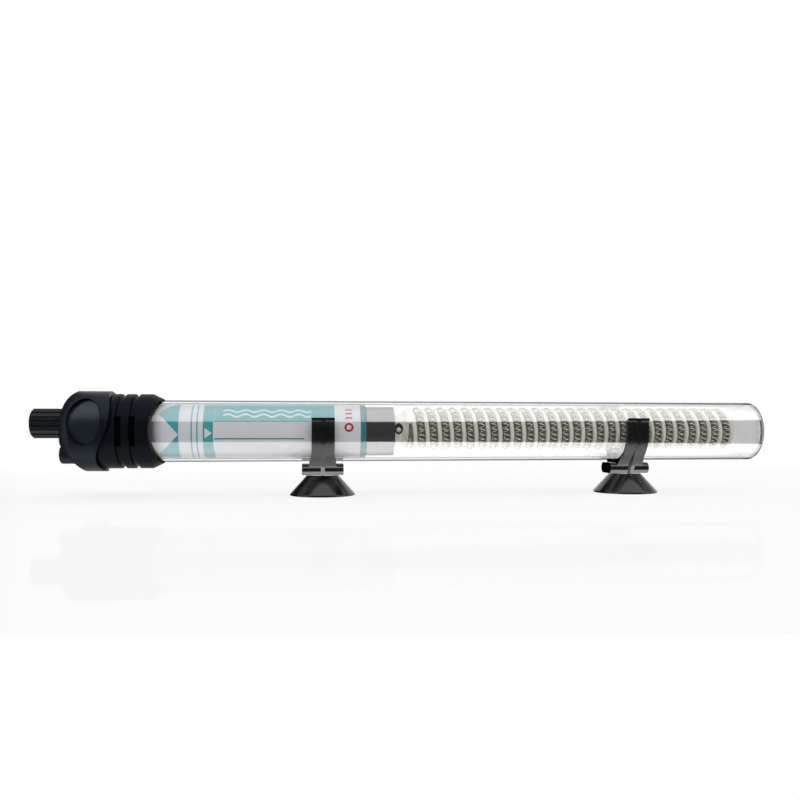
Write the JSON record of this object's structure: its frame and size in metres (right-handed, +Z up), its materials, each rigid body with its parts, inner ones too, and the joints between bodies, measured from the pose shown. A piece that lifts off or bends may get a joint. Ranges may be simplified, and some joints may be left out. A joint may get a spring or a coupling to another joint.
{
  "type": "submersible aquarium heater",
  "caption": "Glass-tube aquarium heater with an adjustable thermostat head, a helical heating element and suction-cup clips.",
  "frame": {"origin": "on the surface that the suction cups stand on, midway along the heater", "axes": "+X along the tube from the control head to the closed end, +Z up, -Y towards the front of the label"},
  "size_m": [0.3035, 0.0322, 0.0426],
  "materials": {
    "clear_glass": "polished, clear",
    "head_plastic": "fine satin, blue-black",
    "knob_plastic": "satin black",
    "gland_rubber": "smooth matt",
    "collar_rubber": "smooth matt",
    "seal_rubber": "matt",
    "cup_rubber": "semi-gloss",
    "clip_plastic": "moulded, semi-gloss",
    "spindle_brass": "turned",
    "spring_brass": "rolled",
    "bimetal_steel": "rolled",
    "contact_silver": "polished",
    "magnet_ferrite": "ground",
    "capacitor_film": "dipped",
    "lamp_glass": "clear",
    "resistor_body": "lacquered",
    "frame_plastic": "moulded",
    "nut_plastic": "moulded",
    "label_film": "printed film",
    "shield_tube": "smooth dark tube",
    "former_ceramic": "unglazed",
    "heating_wire": "oxidised resistance wire",
    "eyelet_black": "blackened",
    "lead_insulation": "smooth sheath",
    "tinned_wire": "tinned"
  },
  "bodies": {
    "heater": {"glass_tube": "clear_glass", "head_shell": "head_plastic", "cord_gland": "gland_rubber", "spindle_o_ring": "seal_rubber", "rubber_collar": "collar_rubber", "sealing_plug": "seal_rubber", "label_sleeve": "label_film", "thermostat_frame": "frame_plastic", "spindle_bush": "spindle_brass", "contact_leaf": "spring_brass", "bimetal_strip": "bimetal_steel", "fixed_contact": "contact_silver", "moving_contact": "contact_silver", "contact_magnet": "magnet_ferrite", "suppression_capacitor": "capacitor_film", "neon_lamp": "lamp_glass", "neon_resistor": "resistor_body", "heat_shield": "shield_tube", "shield_disc": "former_ceramic", "ceramic_former": "former_ceramic", "heating_coil": "heating_wire", "terminal_eyelet": "eyelet_black", "lead_live": "lead_insulation", "lead_neutral": "lead_insulation", "return_lead": "tinned_wire", "heater_lead": "tinned_wire"},
    "knob": {"adjusting_knob": "knob_plastic", "knob_spindle": "spindle_brass"},
    "setting_nut": {"setting_nut": "nut_plastic"},
    "clip_left": {"clip_left": "clip_plastic"},
    "clip_right": {"clip_right": "clip_plastic"},
    "cup_left": {"cup_left": "cup_rubber"},
    "cup_right": {"cup_right": "cup_rubber"}
  },
  "joints": [
    {"name": "knob_turn", "type": "hinge", "parent": "heater", "child": "knob", "pos_m": [-0.1466, 0, 0.0296], "axis": [1, 0, 0], "range_deg": [-150, 150]},
    {"name": "nut_travel", "type": "slide", "parent": "heater", "child": "setting_nut", "axis": [1, 0, 0], "range_m": [-0.00063, 0.00063]},
    {"name": "clip_left_slide", "type": "slide", "parent": "heater", "child": "clip_left", "axis": [1, 0, 0], "range_m": [-0.045, 0.05]},
    {"name": "clip_right_slide", "type": "slide", "parent": "heater", "child": "clip_right", "axis": [1, 0, 0], "range_m": [-0.06, 0.035]},
    {"name": "cup_left_swivel", "type": "hinge", "parent": "clip_left", "child": "cup_left", "pos_m": [-0.0375, 0, 0.0084], "axis": [0, 0, 1], "range_deg": [-180, 180]},
    {"name": "cup_right_swivel", "type": "hinge", "parent": "clip_right", "child": "cup_right", "pos_m": [0.0937, 0, 0.0084], "axis": [0, 0, 1], "range_deg": [-180, 180]}
  ],
  "couplings": [
    {"joint": "nut_travel", "follows": "knob_turn", "m_per_rad": 0.00023873}
  ]
}
